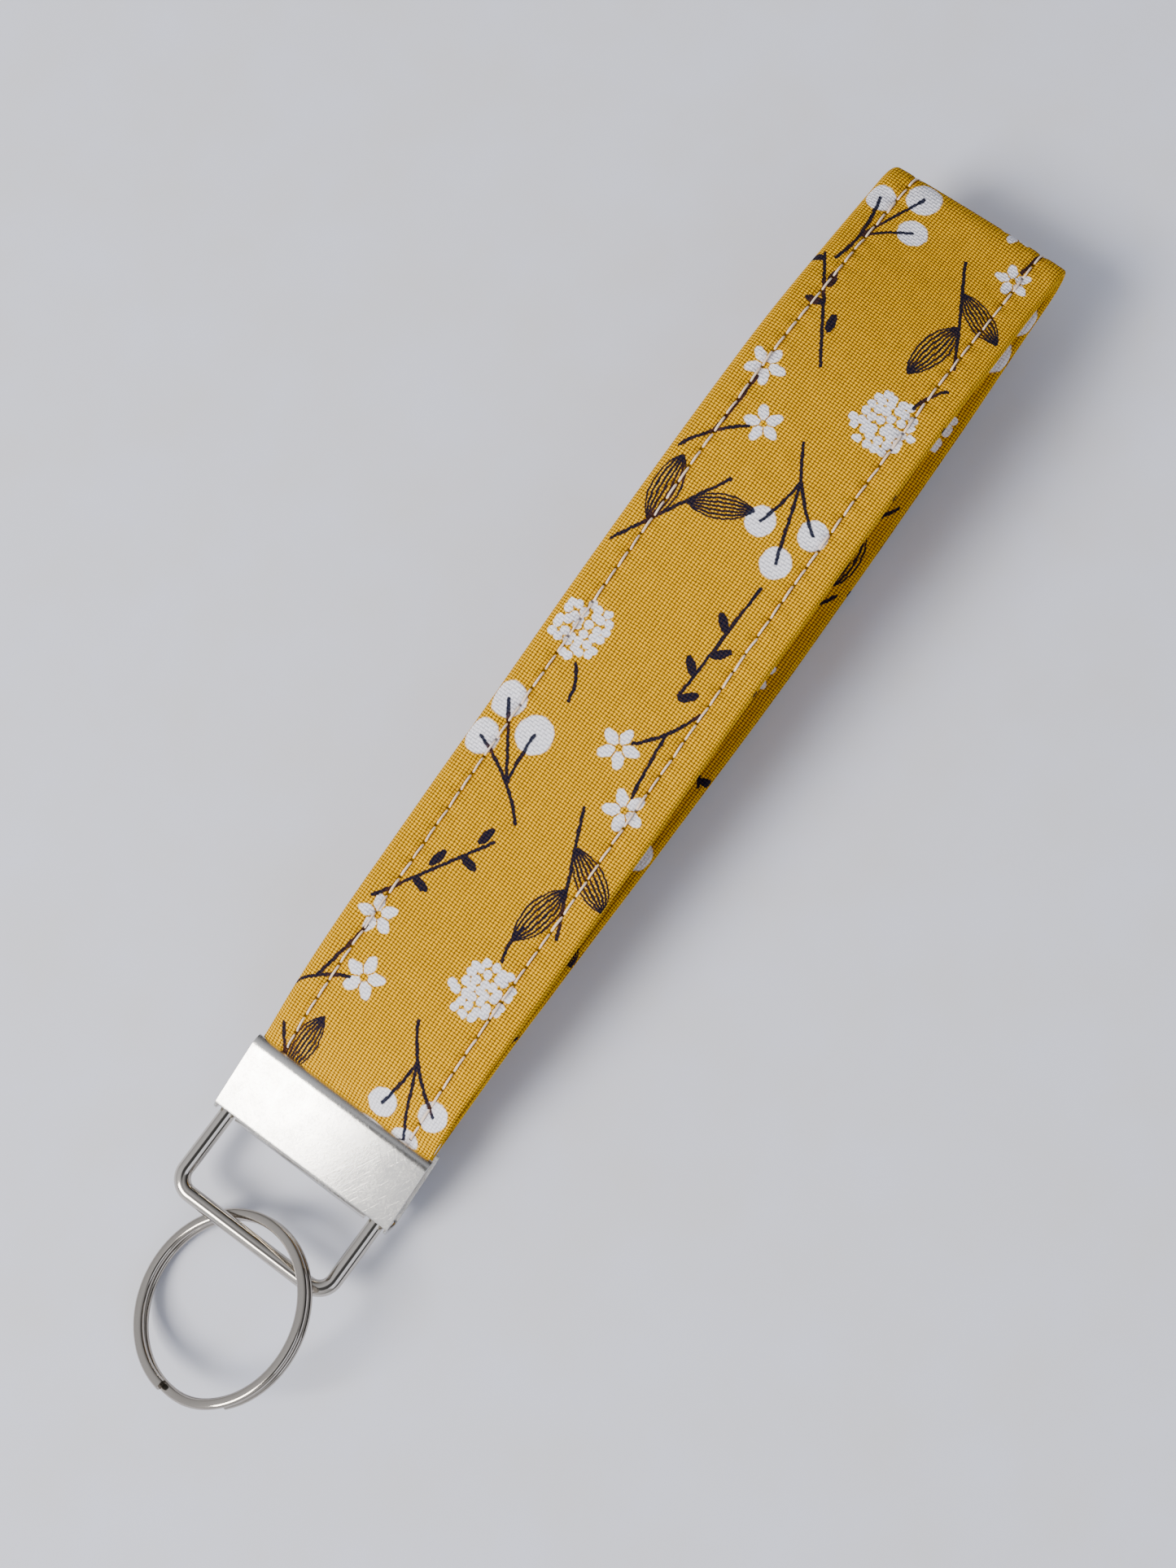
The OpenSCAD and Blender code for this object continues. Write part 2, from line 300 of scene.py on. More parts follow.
def leafGroup():
    # a pointed leaf drawn as an outline with lengthwise veins
    tree, given, out = groupTree("leafMotif", [("Point", "NodeSocketVector"), ("Base", "NodeSocketVector"),
                                               ("Tip", "NodeSocketVector"), ("Half width", "NodeSocketFloat")])
    a = addNode(tree, vectorNode, (given[0], given[1]), operation="SUBTRACT")
    b = addNode(tree, vectorNode, (given[2], given[1]), operation="SUBTRACT")
    forward = addNode(tree, vectorNode, (a, b), operation="DOT_PRODUCT")
    whole = addNode(tree, vectorNode, (b, b), operation="DOT_PRODUCT")
    t = addNode(tree, mathNode, (forward, whole), operation="DIVIDE")
    unit = addNode(tree, vectorNode, (b,), operation="NORMALIZE")
    sideways = addNode(tree, vectorNode, (unit, (0, 0, 1)), operation="CROSS_PRODUCT")
    off = addNode(tree, vectorNode, (a, sideways), operation="DOT_PRODUCT")
    left = addNode(tree, mathNode, (1.0, t), operation="SUBTRACT")
    belly = addNode(tree, mathNode, (t, left), operation="MULTIPLY")
    belly = addNode(tree, mathNode, (belly, 4.0), operation="MULTIPLY")
    belly = addNode(tree, mathNode, (belly, 0.0), operation="MAXIMUM")
    room = addNode(tree, mathNode, (belly, 0.85), operation="POWER")
    room = addNode(tree, mathNode, (room, given[3]), operation="MULTIPLY")
    wide = addNode(tree, mathNode, (room, 0.02), operation="MAXIMUM")
    share = addNode(tree, mathNode, (off, wide), operation="DIVIDE")
    cycle = addNode(tree, mathNode, (share, 3.0), operation="MULTIPLY")
    cycle = addNode(tree, mathNode, (cycle, 0.5), operation="PINGPONG")
    gap = addNode(tree, mathNode, (cycle, room), operation="MULTIPLY")
    gap = addNode(tree, mathNode, (gap, 0.333), operation="MULTIPLY")
    veins = addNode(tree, mapNode, (gap, 0.25, 0.14))
    inside = addNode(tree, mapNode, (addNode(tree, mathNode, (share,), operation="ABSOLUTE"), 1.12, 1.04))
    ends = (addNode(tree, mapNode, (t, 0.0, 0.02)), addNode(tree, mapNode, (t, 1.0, 0.98)))
    within = addNode(tree, mathNode, ends, operation="MULTIPLY")
    drawn = addNode(tree, mathNode, (veins, inside), operation="MULTIPLY")
    feed(tree, addNode(tree, mathNode, (drawn, within), operation="MULTIPLY"), out.inputs[0])
    return tree


def flowerGroup():
    # five round petals about an open eye
    tree, given, out = groupTree("flowerMotif", [("Point", "NodeSocketVector"), ("Centre", "NodeSocketVector"),
                                                 ("Turn", "NodeSocketFloat"), ("Radius", "NodeSocketFloat")])
    a = addNode(tree, vectorNode, (given[0], given[1]), operation="SUBTRACT")
    xy = addNode(tree, "ShaderNodeSeparateXYZ", (a,)).outputs
    angle = addNode(tree, mathNode, (xy[1], xy[0]), operation="ARCTAN2")
    angle = addNode(tree, mathNode, (angle, given[2]), operation="ADD")
    fiveTimes = addNode(tree, mathNode, (angle, 5.0), operation="MULTIPLY")
    petals = addNode(tree, mathNode, (fiveTimes,), operation="COSINE")
    rim = addNode(tree, mathNode, (petals, 0.24, 0.78), operation="MULTIPLY_ADD")
    length = addNode(tree, vectorNode, (a,), operation="LENGTH")
    far = addNode(tree, mathNode, (length, given[3]), operation="DIVIDE")
    body = addNode(tree, mapNode, (addNode(tree, mathNode, (far, rim), operation="SUBTRACT"), 0.05, -0.03))
    eye = addNode(tree, mapNode, (far, 0.17, 0.25))
    rays = addNode(tree, mathNode, (petals, 1.0), operation="ADD")
    rays = addNode(tree, mathNode, (rays, far), operation="MULTIPLY")
    rays = addNode(tree, mapNode, (rays, 0.02, 0.08))
    drawn = addNode(tree, mathNode, (body, eye), operation="MULTIPLY")
    feed(tree, addNode(tree, mathNode, (drawn, rays), operation="MULTIPLY"), out.inputs[0])
    return tree


floral = dict(seed=11, pitch=20.5, rows=(9.0, -9.0, 10.5, -7.0), stemLength=20.0, stemWidth=0.27, leafletLong=1.7,
              leafletWide=0.72, leafLong=12.5, leafHalf=2.2, berry=(2.3, 3.0), blossom=3.2, clusterSize=5.2,
              pebbleScale=0.72)


def printDesign():
    # a plain botanical all-over, laid out by rule: five simple motifs take turns along the cloth
    dice = random.Random(floral["seed"])
    found = dict(leaves=[], lines=[], leaflets=[], dots=[], blossoms=[], clusters=[])
    kinds = [leafSprig, dotCluster, berrySprig, leafletTwig, blossomSprig]
    count = int(cotton["repeat"] / floral["pitch"] * 2)
    for i in range(count):
        x = (i + 0.5) * cotton["repeat"] / count + dice.uniform(-1.5, 1.5)
        y = floral["rows"][i % len(floral["rows"])] + dice.uniform(-1.6, 1.6)
        kinds[(i * 2) % len(kinds)](found, dice, x, y, dice.uniform(-0.6, 0.6) + math.pi * (i % 2))
    return found


def polar(x, y, angle, far):
    return x + far * math.cos(angle), y + far * math.sin(angle)


def leafSprig(found, dice, x, y, angle):
    base, tip = polar(x, y, angle, -floral["stemLength"] / 2), polar(x, y, angle, floral["stemLength"] / 2)
    found["lines"].append((base, tip, 0.0, floral["stemWidth"]))
    for t, side in ((0.3, 1), (0.62, -1)):
        joint = (base[0] + (tip[0] - base[0]) * t, base[1] + (tip[1] - base[1]) * t)
        found["leaves"].append((joint, polar(*joint, angle + side * 0.62, floral["leafLong"] * dice.uniform(0.8, 1)),
                                floral["leafHalf"] * dice.uniform(0.85, 1.05)))


def leafletTwig(found, dice, x, y, angle):
    base, tip = polar(x, y, angle, -floral["stemLength"] / 2), polar(x, y, angle, floral["stemLength"] / 2)
    found["lines"].append((base, tip, 0.0, floral["stemWidth"]))
    for i in range(4):
        t, side = 0.3 + 0.2 * i, 1 if i % 2 else -1
        joint = (base[0] + (tip[0] - base[0]) * t, base[1] + (tip[1] - base[1]) * t)
        turn = angle + side * 0.8
        leaflet = polar(*joint, turn, floral["leafletLong"] + 0.1)
        found["leaflets"].append((*leaflet, turn, floral["leafletLong"], floral["leafletWide"]))


def berrySprig(found, dice, x, y, angle):
    base = polar(x, y, angle, -6)
    found["lines"].append((polar(x, y, angle + 0.12, -12), base, 0.2, floral["stemWidth"]))
    for i, lean in enumerate((-0.5, 0.0, 0.5)):
        end = polar(*base, angle + lean, 8.5 + 4.5 * (i % 2))
        found["lines"].append((base, end, 0.5 * lean, floral["stemWidth"]))
        size = dice.uniform(*floral["berry"])
        found["dots"].append((*end, 0.0, size, size * 0.96))


def blossomSprig(found, dice, x, y, angle):
    base = polar(x, y, angle, -5)
    found["lines"].append((polar(x, y, angle - 0.1, -10.5), base, -0.2, floral["stemWidth"]))
    for lean, far in ((-0.45, 7.5), (0.35, 13.0)):
        end = polar(*base, angle + lean, far)
        stemEnd = polar(*base, angle + lean, far - 0.7 * floral["blossom"])
        found["lines"].append((base, stemEnd, 0.4 * lean, floral["stemWidth"]))
        found["blossoms"].append((*end, dice.uniform(0, 1.2), floral["blossom"] * dice.uniform(0.85, 1.05)))


def dotCluster(found, dice, x, y, angle):
    stemEnd = polar(x, y, angle, -floral["clusterSize"])
    found["lines"].append((polar(x, y, angle, -11), stemEnd, 0.5, floral["stemWidth"]))
    found["clusters"].append((x, y, floral["clusterSize"] * dice.uniform(0.9, 1.1), floral["clusterSize"] * 0.92))


def printMasks(tree, point):
    oval, stroke, leaf, flower = ovalGroup(), strokeGroup(), leafGroup(), flowerGroup()
    design = printDesign()

    def use(group, links):
        return addNode(tree, "ShaderNodeGroup", {0: point, **links}, node_tree=group)

    ink = [use(leaf, {1: (*base, 0), 2: (*tip, 0), 3: half}) for base, tip, half in design["leaves"]]
    ink += [use(stroke, {1: (*base, 0), 2: (*tip, 0), 3: bow, 4: wide}) for base, tip, bow, wide in design["lines"]]
    ink += [use(oval, {1: (x, y, 0), 2: turn, 3: (long, wide, 1)}) for x, y, turn, long, wide in design["leaflets"]]
    white = [use(oval, {1: (x, y, 0), 2: turn, 3: (long, wide, 1)}) for x, y, turn, long, wide in design["dots"]]
    white += [use(flower, {1: (x, y, 0), 2: turn, 3: radius}) for x, y, turn, radius in design["blossoms"]]

    # clusters of small dots, about 1.4 mm apart: the cells whose own centre lies in one of the ovals
    cell = addNode(tree, "ShaderNodeTexVoronoi", {"Vector": point, "Scale": floral["pebbleScale"],
                                                  "Randomness": 0.5}, voronoi_dimensions="2D", feature="F1")
    inside = highest(tree, [use(oval, {0: cell.outputs["Position"], 1: (x, y, 0), 2: 0.0, 3: (long, wide, 1)})
                            for x, y, long, wide in design["clusters"]])
    solid = addNode(tree, mathNode, (inside, 0.5), operation="GREATER_THAN")
    pebble = addNode(tree, mapNode, (cell.outputs["Distance"], 0.55, 0.47))
    white.append(addNode(tree, mathNode, (solid, pebble), operation="MULTIPLY"))
    return highest(tree, white), highest(tree, ink)


def cottonMaterial():
    # quilting cotton, plain weave, screen printed: matte with a faint sheen, a painted highlight on the thread
    # crowns and painted shade in the gaps between them, ink sitting in the weave
    # both UV maps are in millimetres, so a noise scale of 0.22 makes waves of about 4.5 mm, and 0.9 of about 1.1 mm
    material, tree, shader = newMaterial("wovenCottonPrint")
    cloth = addNode(tree, "ShaderNodeUVMap", uv_map="strapUV")
    design = addNode(tree, "ShaderNodeUVMap", uv_map="printUV")
    axes = addNode(tree, "ShaderNodeSeparateXYZ", (cloth,)).outputs
    wobble = addNode(tree, "ShaderNodeTexNoise", {"Vector": cloth, "Scale": 0.35, "Detail": 2.0}).outputs["Color"]
    lean = addNode(tree, vectorNode, (wobble, (0.5, 0.5, 0.5)), operation="SUBTRACT")
    lean = addNode(tree, vectorNode, {0: lean, "Scale": cotton["threadWobble"]}, operation="SCALE")
    leant = addNode(tree, vectorNode, (cloth, lean), operation="ADD")
    bent = addNode(tree, "ShaderNodeSeparateXYZ", (leant,)).outputs
    a, b = cotton["threadAcross"], cotton["threadAlong"]
    u = addNode(tree, mathNode, (bent[0], a), operation="DIVIDE")
    v = addNode(tree, mathNode, (bent[1], b), operation="DIVIDE")

    def dome(value):
        # one rounded thread crown for each cell
        part = addNode(tree, mathNode, (value,), operation="FRACT")
        f = addNode(tree, mathNode, (part, 2.0, -1.0), operation="MULTIPLY_ADD")
        square = addNode(tree, mathNode, (f, f), operation="MULTIPLY")
        return addNode(tree, mathNode, (1.0, square), operation="SUBTRACT")

    def over(high, low):
        # a thread where it passes over the other one
        drop = addNode(tree, mathNode, (low, 0.45, 0.55), operation="MULTIPLY_ADD")
        return addNode(tree, mathNode, (high, drop), operation="MULTIPLY")

    domeU, domeV = dome(u), dome(v)
    cellU = addNode(tree, mathNode, (u,), operation="FLOOR")
    cellV = addNode(tree, mathNode, (v,), operation="FLOOR")
    cells = addNode(tree, mathNode, (cellU, cellV), operation="ADD")
    parity = addNode(tree, mathNode, (cells, 2.0), operation="FLOORED_MODULO")
    weave = addNode(tree, mixNode, {0: parity, 2: over(domeV, domeU), 3: over(domeU, domeV)}, data_type="FLOAT")

    # the print's edges follow the threads and fray a little
    cellPoint = addNode(tree, vectorNode, (design, (a / 2, b / 2, 1)), operation="SNAP")
    stepped = addNode(tree, mixNode, {0: 0.35, 4: design, 5: cellPoint}, data_type="VECTOR")
    fray = addNode(tree, "ShaderNodeTexNoise", {"Vector": design, "Scale": 0.9, "Detail": 1.0}).outputs["Color"]
    fray = addNode(tree, vectorNode, (fray, (0.5, 0.5, 0.5)), operation="SUBTRACT")
    fray = addNode(tree, vectorNode, {0: fray, "Scale": cotton["fray"]}, operation="SCALE")
    inkPoint = addNode(tree, vectorNode, (stepped, fray), operation="ADD")
    flat = addNode(tree, vectorNode, (inkPoint, (1, 1, 0)), operation="MULTIPLY")
    white, ink = printMasks(tree, flat.outputs[0])

    # painted shade: the gaps between the threads keep the dark deep mustard, and this mask lifts the thread crowns
    # to the plain mustard
    crownOutOfShade = addNode(tree, mapNode, (weave, 0.22, 0.76))
    # painted highlight on the tops of the thread crowns
    crownHighlight = addNode(tree, mapNode, (weave, 0.78, 1.0, 0.0, 0.6))
    drawn = addNode(tree, vectorNode, (cloth, (0.25, 1.6, 1)), operation="MULTIPLY")  # slubs about 4 mm by 0.6 mm
    slub = addNode(tree, "ShaderNodeTexNoise", {"Vector": drawn, "Scale": 1.0, "Detail": 3.0})
    slub = addNode(tree, mapNode, (slub, 0.3, 0.75, 0.0, cotton["slubDark"]))
    # ink covers the crowns fully and the gaps between threads a little less
    whiteThread = addNode(tree, mapNode, (weave, 0.0, 0.35, 0.72, 1.0))
    whiteCover = addNode(tree, mathNode, (white, whiteThread), operation="MULTIPLY")
    inkThread = addNode(tree, mapNode, (weave, 0.1, 0.6, 1.0, 0.97))
    inkCover = addNode(tree, mathNode, (ink, inkThread), operation="MULTIPLY")
    # painted shade along the stitched valley, darkest on each row and gone 1.1 mm from it
    offRow = addNode(tree, mathNode, (axes[1],), operation="ABSOLUTE")
    offRow = addNode(tree, mathNode, (offRow, cotton["stitchRow"]), operation="SUBTRACT")
    offRow = addNode(tree, mathNode, (offRow,), operation="ABSOLUTE")
    stitchValleyShade = addNode(tree, mapNode, (offRow, 1.1, 0.0))
    stitchValleyShade = addNode(tree, mathNode, (stitchValleyShade, cotton["valleyShadeStrength"]), operation="MULTIPLY")
    phase = addNode(tree, mathNode, (axes[0], cotton["stitchStart"]), operation="SUBTRACT")
    phase = addNode(tree, mathNode, (phase, 2 * math.pi / cotton["stitchPitch"]), operation="MULTIPLY")
    pucker = addNode(tree, mathNode, (phase,), operation="COSINE")
    # painted shade in the needle holes: dark dots between the stitches on each row
    spots = (addNode(tree, mapNode, (pucker, -0.86, -0.96)), addNode(tree, mapNode, (offRow, 0.34, 0.16)))
    holeShade = addNode(tree, mathNode, spots, operation="MULTIPLY")
    holeShade = addNode(tree, mathNode, (holeShade, cotton["holeShadeStrength"]), operation="MULTIPLY")
    # the colour starts from the dark deep mustard, which is painted shade in the weave gaps and the stitched valley
    # and the real darker tone of the slubs
    color = linearColor(cotton["mustardSlubAndShade"])
    layers = ((crownOutOfShade, "mustard"), (crownHighlight, "mustardHighlight"), (slub, "mustardSlubAndShade"), (whiteCover, "white"),
              (inkCover, "ink"), (stitchValleyShade, "mustardSlubAndShade"), (holeShade, "needleHoleShade"))
    for cover, tone in layers:
        color = addNode(tree, mixNode, {0: cover, 6: color, 7: linearColor(cotton[tone])}, data_type="RGBA")
    feed(tree, color, shader.inputs["Base Color"])

    puckerNear = addNode(tree, mapNode, (offRow, 2.4, 0.2))
    dimple = addNode(tree, mathNode, (pucker, puckerNear), operation="MULTIPLY")
    dimple = addNode(tree, mathNode, (dimple, cotton["dimple"]), operation="MULTIPLY")
    height = addNode(tree, mathNode, (weave, cotton["weaveHeight"]), operation="MULTIPLY")
    height = addNode(tree, mathNode, (height, dimple), operation="ADD")
    soft = addNode(tree, "ShaderNodeTexNoise", {"Vector": cloth, "Scale": 0.22, "Detail": 3.0})
    soft = addNode(tree, mathNode, (soft, cotton["softWaves"]), operation="MULTIPLY")
    height = addNode(tree, mathNode, (height, soft), operation="ADD")
    bump = addNode(tree, "ShaderNodeBump", {"Height": height, "Strength": 1.0, "Distance": cotton["relief"] * mm})
    feed(tree, bump, shader.inputs["Normal"])
    shader.inputs["Roughness"].default_value = 0.86
    shader.inputs["Specular IOR Level"].default_value = 0.04
    shader.inputs["Sheen Weight"].default_value = 0.01
    shader.inputs["Sheen Roughness"].default_value = 0.5
    return material


def strapSection(outer, inner, half):
    # one cross-section from the seam up over the outer face, round the fold and back; (y, lift)
    gap, rows, edgeIn = loop["seamGap"] / 2, cotton["stitchRow"], loop["edgeIn"]

    def face(y, h):
        near = math.exp(-((abs(y) - rows) / loop["stitchHalf"]) ** 2)
        puff = loop["puff"] * math.cos(math.pi * y / (2 * rows)) if abs(y) < rows else 0.0
        edge = max(0.0, (abs(y) - rows) / (half - rows))
        full = min(1, h / (loop["thick"] / 2))
        return h * (1 - loop["edgeDrop"] * edge * edge) - loop["stitchDip"] * full * near + puff * full

    def outline(h, sign):
        # seam lip, face, and half of the fold
        lip = [(-half + loop["seamDepth"], gap)]
        c = max(h - gap, 0.2) / 2
        wide = c * 0.9
        for i in range(1, 10):
            turn = math.pi * i / 10
            lip.append((-half + wide - wide * math.sin(turn), gap + c - c * math.cos(turn)))
        ys = [-half + edgeIn + (2 * half - loop["edgesIn"]) * i / 84 for i in range(85)]
        top = [(y, face(y, h)) for y in ys]
        lip = [(y, g if g < h * 0.5 else g - (h - face(-half + edgeIn, h)) * (g / h)) for y, g in lip]
        hEnd = face(ys[-1], h)
        fold = [(ys[-1] + (half - ys[-1]) * math.sin(math.pi / 2 * i / 8), hEnd * math.cos(math.pi / 2 * i / 8))
                for i in range(1, 8)]
        return [(y, sign * g) for y, g in lip + top + fold]

    up = outline(outer, 1)
    down = outline(inner, -1)
    return up + [(half, 0.0)] + down[::-1]


def buildStrap(material):
    line, step = strapLine, loop["stepMm"]
    count = int(round(line.length / step))
    stations = [line.length * i / count for i in range(count + 1)]
    vertices, uvCloth, uvPrint = [], [], []
    for s in stations:
        outer, inner = line.halves(s)
        half = line.halfWidth(s)
        section = strapSection(outer, inner, half)
        ring = len(section)
        loose = min(1.0, max(0.0, (min(s, line.length - s) - 14) / 20))
        for j, (y, g) in enumerate(section):
            n = noise.noise(Vector((s * 0.045, y * 0.03, 3.1))) * loop["waver"] * loose
            drift = noise.noise(Vector((s * 0.05, 7.7, 0.4))) * loop["drift"] * loose
            lift = g + n * 0.8
            vertices.append(line.place(s, y + drift, lift))
            onOuter = j < ring // 2
            clothY = y
            if abs(y) > half - 1.2:
                clothY = y + math.copysign((outer if onOuter else inner) - abs(g), y) * 0.8
            uvCloth.append((s, clothY if onOuter else clothY + cotton["innerThread"]))
            if onOuter:
                uvPrint.append((s if s < cotton["repeat"] else s - cotton["repeat"], clothY))
            else:
                uvPrint.append(((s + cotton["innerStart"]) % cotton["repeat"], -clothY))
    faces, n = [], len(stations)
    for i in range(n - 1):
        for j in range(ring):
            k = (j + 1) % ring
            faces.append((i * ring + j, (i + 1) * ring + j, (i + 1) * ring + k, i * ring + k))
    faces.append(tuple(range(ring)))
    faces.append(tuple((n - 1) * ring + j for j in range(ring - 1, -1, -1)))
    obj = meshObject("strapFabric", vertices, faces, material)
    mesh = obj.data
    clothLayer = mesh.uv_layers.new(name="strapUV")
    printLayer = mesh.uv_layers.new(name="printUV")
    for polygon in mesh.polygons:
        loops = list(polygon.loop_indices)
        us = [uvPrint[mesh.loops[i].vertex_index][0] for i in loops]
        wrapped = max(us) - min(us) > 50 and len(loops) == 4
        for i in loops:
            vertex = mesh.loops[i].vertex_index
            clothLayer.data[i].uv = uvCloth[vertex]
            x, y = uvPrint[vertex]
            if wrapped and x < 50:
                x += cotton["repeat"]
            printLayer.data[i].uv = (x, y)
    return obj


cottonPrint = cottonMaterial()
strap = buildStrap(cottonPrint)
print("strap fabric", len(strap.data.polygons), "faces")

# topstitching, in millimetres
stitching = dict(row=cotton["stitchRow"], pitch=cotton["stitchPitch"], gap=0.42, threadWidth=0.36,
                 rise=0.16, sink=0.34, hiddenOuter=10.4, hiddenInner=35.6, seed=7)


def threadMaterial():
    # spun polyester sewing thread, two plies: pale, slightly glossy ridges that wind round it
    # the tint varies over about 1.1 mm, and the ridges are about 1.5 mm apart along a thread
    material, tree, shader = newMaterial("spunPolyesterThread")
    where = addNode(tree, "ShaderNodeTexCoord").outputs["Object"]
    tint = addNode(tree, "ShaderNodeTexNoise", {"Vector": where, "Scale": 900.0, "Detail": 2.0})
    color = addNode(tree, mixNode, {0: tint, 6: linearColor("dcbfa4"), 7: linearColor("f3e2cf")}, data_type="RGBA")
    feed(tree, color, shader.inputs["Base Color"])
    ply = addNode(tree, "ShaderNodeTexWave", {"Vector": where, "Scale": 420.0, "Distortion": 1.5},
                  wave_type="BANDS", bands_direction="DIAGONAL").outputs[1]
    bump = addNode(tree, "ShaderNodeBump", {"Height": ply, "Strength": 0.5, "Distance": 0.06 * mm})
    feed(tree, bump, shader.inputs["Normal"])
    shader.inputs["Roughness"].default_value = 0.55
    shader.inputs["Sheen Weight"].default_value = 0.2
    return material


def stitchTree(material):
    tree = bpy.data.node_groups.new("stitchRows", "GeometryNodeTree")
    tree.interface.new_socket("Geometry", in_out="INPUT", socket_type="NodeSocketGeometry")
    names = ["Stitch length", "Thread width", "Rise", "Sink"]
    for name in names:
        tree.interface.new_socket(name, in_out="INPUT", socket_type="NodeSocketFloat")
    tree.interface.new_socket("Seed", in_out="INPUT", socket_type="NodeSocketInt")
    tree.interface.new_socket("Geometry", in_out="OUTPUT", socket_type="NodeSocketGeometry")
    given = addNode(tree, "NodeGroupInput").outputs
    half = addNode(tree, mathNode, (given[1], 0.5), operation="MULTIPLY")
    back = addNode(tree, mathNode, (half, -1.0), operation="MULTIPLY")
    under = addNode(tree, mathNode, (given[4], -1.0), operation="MULTIPLY")
    start = addNode(tree, "ShaderNodeCombineXYZ", {0: back, 2: under})
    end = addNode(tree, "ShaderNodeCombineXYZ", {0: half, 2: under})
    peak = addNode(tree, mathNode, (given[3], 2.0, given[4]), operation="MULTIPLY_ADD")
    top = addNode(tree, mathNode, (peak, 0.5), operation="MULTIPLY")
    shoulders = [addNode(tree, mathNode, (half, side), operation="MULTIPLY") for side in (-0.86, 0.86)]
    startHandle, endHandle = [addNode(tree, "ShaderNodeCombineXYZ", {0: x, 2: top}) for x in shoulders]
    arch = addNode(tree, "GeometryNodeCurvePrimitiveBezierSegment",
                   {"Resolution": 9, "Start": start, "Start Handle": startHandle, "End Handle": endHandle,
                    "End": end}).outputs[0]
    radius = addNode(tree, mathNode, (given[2], 0.5), operation="MULTIPLY")
    ring = addNode(tree, "GeometryNodeCurvePrimitiveCircle", {"Resolution": 8, "Radius": radius}).outputs[0]
    tube = addNode(tree, "GeometryNodeCurveToMesh", {"Curve": arch, "Profile Curve": ring, "Fill Caps": True})
    smooth = addNode(tree, "GeometryNodeSetShadeSmooth", {0: tube.outputs[0]}).outputs[0]
    along = addNode(tree, "GeometryNodeInputNamedAttribute", {0: "along"}, data_type="FLOAT_VECTOR").outputs[0]
    outward = addNode(tree, "GeometryNodeInputNamedAttribute", {0: "outward"}, data_type="FLOAT_VECTOR").outputs[0]
    turn = addNode(tree, "FunctionNodeAxesToRotation", {"Primary Axis": outward, "Secondary Axis": along},
                   primary_axis="Z", secondary_axis="X").outputs[0]
    vary = addNode(tree, "FunctionNodeRandomValue", {"Min": (0.95, 0.9, 0.85), "Max": (1.03, 1.1, 1.15),
                                                    "Seed": given[5]}, data_type="FLOAT_VECTOR").outputs[0]
    placed = addNode(tree, "GeometryNodeInstanceOnPoints", {"Points": given[0], "Instance": smooth,
                                                           "Rotation": turn, "Scale": vary}).outputs[0]
    real = addNode(tree, "GeometryNodeRealizeInstances", {0: placed}).outputs[0]
    painted = addNode(tree, "GeometryNodeSetMaterial", {0: real, "Material": material}).outputs[0]
    addNode(tree, "NodeGroupOutput", {0: painted})
    return tree


def stitchRows(name, outer, tree, material):
    line, hidden = strapLine, stitching["hiddenOuter" if outer else "hiddenInner"]
    spots, alongs, outs = [], [], []
    count = int((line.length - 2 * hidden) / stitching["pitch"])
    for y in (-stitching["row"], stitching["row"]):
        for i in range(count):
            s = hidden + 1.6 + i * stitching["pitch"]
            up, low = line.halves(s)
            lift = (up - 0.16) if outer else -(low - 0.16)
            wander = noise.noise(Vector((s * 0.09, y, 1.3))) * 0.12
            spots.append(line.place(s, y + wander, lift))
            a, o = line.along(s), line.outward(s)
            skew = noise.noise(Vector((s * 1.7, y, 5.2))) * 0.12
            alongs.append(Vector((a.x, skew, a.z)).normalized())
            outs.append(o if outer else -o)
    obj = meshObject(name, spots, [], material)
    for label, values in (("along", alongs), ("outward", outs)):
        layer = obj.data.attributes.new(label, "FLOAT_VECTOR", "POINT")
        layer.data.foreach_set("vector", [c for v in values for c in v])
    modifier = obj.modifiers.new("stitches", "NODES")
    modifier.node_group = tree
    sizes = {"Stitch length": (stitching["pitch"] - stitching["gap"]) * mm,
             "Thread width": stitching["threadWidth"] * mm, "Rise": stitching["rise"] * mm,
             "Sink": stitching["sink"] * mm, "Seed": stitching["seed"]}
    for item in tree.interface.items_tree:
        if item.in_out == "INPUT" and item.name in sizes:
            modifier[item.identifier] = sizes[item.name]
    return plainMesh(obj)


thread = threadMaterial()
rowTree = stitchTree(thread)
needleStitches = stitchRows("needleStitches", True, rowTree, thread)
bobbinStitches = stitchRows("bobbinStitches", False, rowTree, thread)
print("stitches", len(needleStitches.data.polygons), len(bobbinStitches.data.polygons), "faces")

# clamp, bail and split ring, in millimetres
hardware = dict(
    clampWidth=33.0, clampLength=14.0, sheet=0.7, foldRadius=1.5, lipRadius=1.9,
    notch=1.1, notchHalf=1.85, legGap=28.6,
    teeth=6, toothInset=2.3, toothBase=0.8, toothTip=0.2, toothFrom=1.7, toothTo=1.08,
    wire=2.6, reach=15.1, bailPitch=math.radians(3), bendIn=1.9, bendOut=2.8, trunnion=3.4,
    ringAt=(-22.6, -3.0, 7.25), ringDiameter=30.0, ringWide=1.7, ringHigh=1.2, ringGap=0.05, ringCorner=0.56,
    ringTilt=math.radians(24), jogAt=math.radians(202), jog=math.radians(46), bevel=0.14,
)


